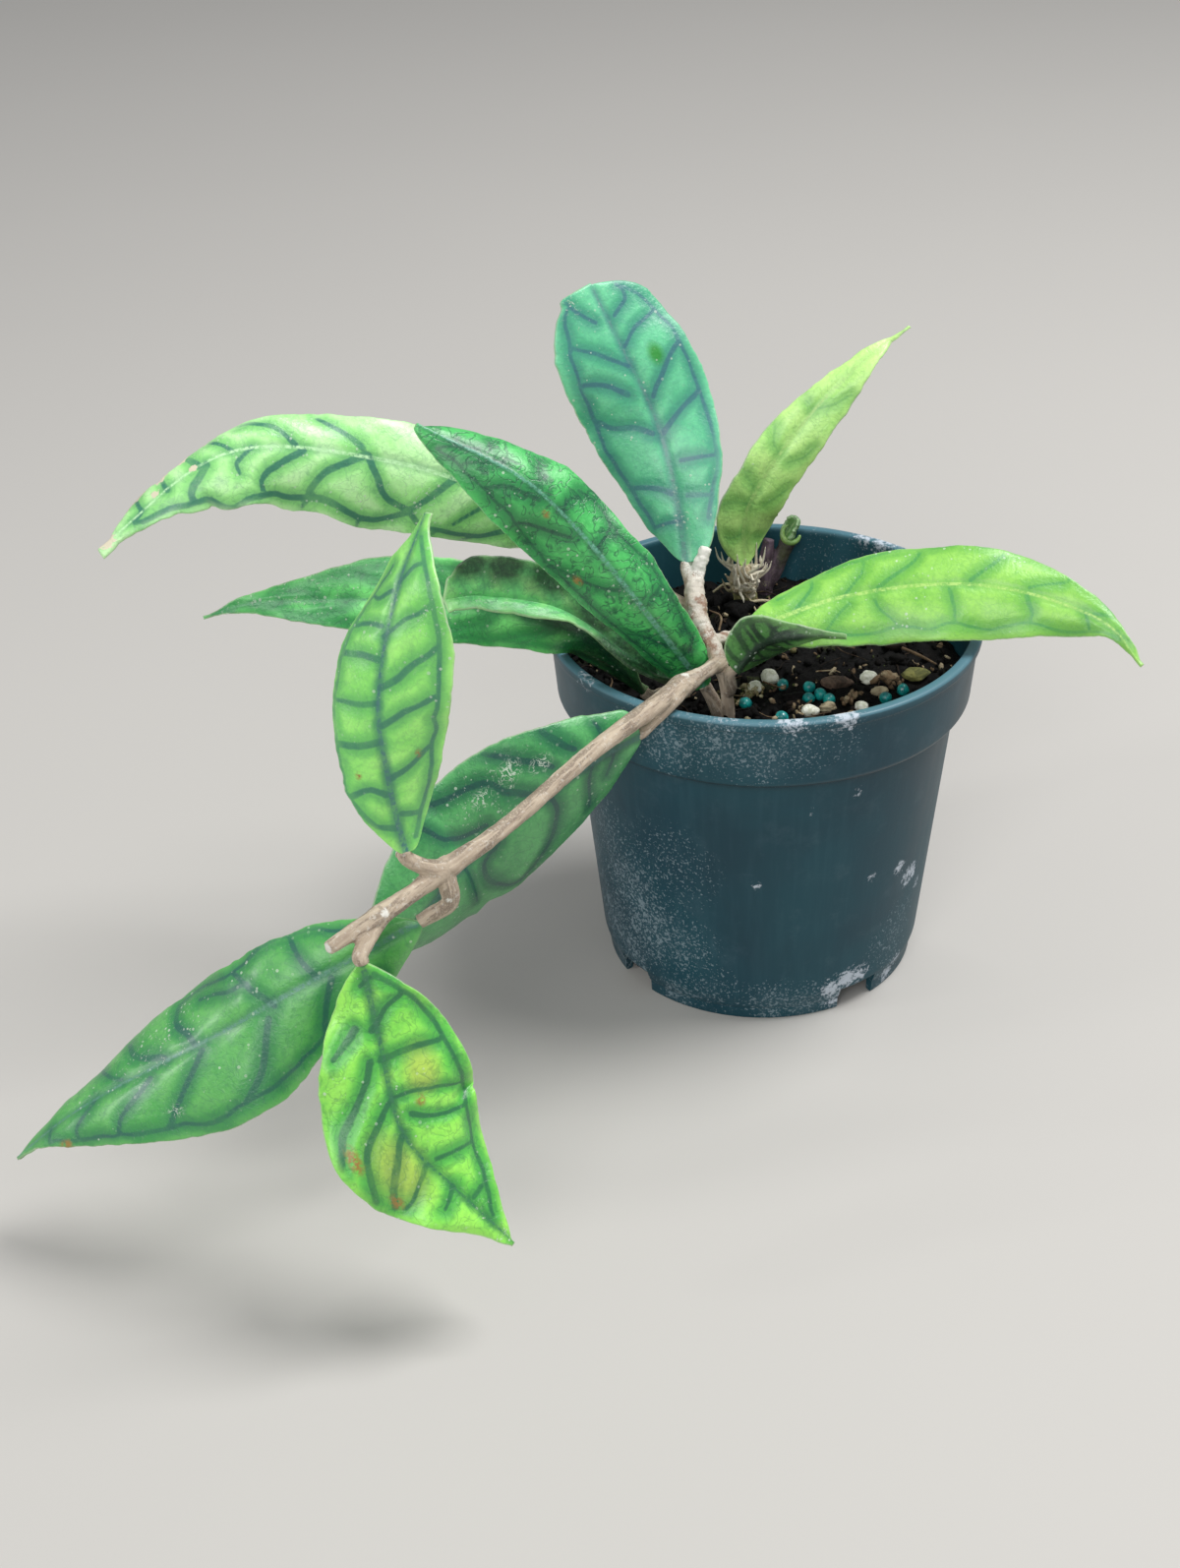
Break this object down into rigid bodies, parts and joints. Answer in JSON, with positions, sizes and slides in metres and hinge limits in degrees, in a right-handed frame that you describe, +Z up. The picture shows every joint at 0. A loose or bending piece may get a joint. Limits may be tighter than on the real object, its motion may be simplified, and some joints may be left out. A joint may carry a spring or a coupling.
{
  "type": "potted hoya callistophylla",
  "caption": "Potted hoya callistophylla: round nursery pot of soil, woody rooted shoots, thick dark-veined leaves and a leafy vine that trails over the rim.",
  "frame": {"origin": "middle of the pot base, on the surface that the pot stands on", "axes": "+Z up along the pot axis; the vine trails over the rim towards -X and -Y; the picture looks along +Y and down"},
  "size_m": [0.2579, 0.1965, 0.1713],
  "materials": {
    "pot": "satin, dark green-teal, with pale limescale",
    "bark": "rough brown bark",
    "dried_root": "dry, fibrous",
    "purple_petiole": "matt, dark purple-brown",
    "leaf_green": "waxy leaf, half gloss",
    "leaf_pale": "waxy leaf, half gloss, yellow-green",
    "leaf_dark": "waxy leaf, half gloss, dark",
    "leaf_blue": "waxy leaf, half gloss, bluish",
    "fertiliser_bead": "glossy teal",
    "perlite": "chalky, off-white",
    "bark_chip": "rough, dry",
    "soil": "loose, dark, peaty"
  },
  "bodies": {
    "root": {"pot": "pot", "vine_stem": "bark", "left_shoot": "bark", "back_shoot": "dried_root", "cut_petioles": "purple_petiole", "cut_leaf_remnant": "leaf_pale", "leaf_back_oval": "leaf_blue", "leaf_back_pointed": "leaf_pale", "leaf_right_large": "leaf_pale", "leaf_small_curled": "leaf_dark", "leaf_front_diagonal": "leaf_dark", "leaf_far_left_long": "leaf_green", "leaf_lower_left_dark": "leaf_dark", "leaf_mid_left_blunt": "leaf_dark", "leaf_vine_upright": "leaf_green", "leaf_vine_under": "leaf_green", "leaf_vine_left": "leaf_green", "leaf_vine_hanging": "leaf_green", "fertiliser_bead_1": "fertiliser_bead", "fertiliser_bead_2": "fertiliser_bead", "fertiliser_bead_3": "fertiliser_bead", "fertiliser_bead_4": "fertiliser_bead", "fertiliser_bead_5": "fertiliser_bead", "fertiliser_bead_6": "fertiliser_bead", "fertiliser_bead_7": "fertiliser_bead", "fertiliser_bead_8": "fertiliser_bead", "fertiliser_bead_9": "fertiliser_bead", "perlite_1": "perlite", "perlite_2": "perlite", "perlite_3": "perlite", "perlite_4": "perlite", "perlite_5": "perlite", "bark_chip_1": "bark_chip", "bark_chip_2": "bark_chip", "bark_chip_3": "bark_chip", "soil": "soil"}
  },
  "joints": []
}
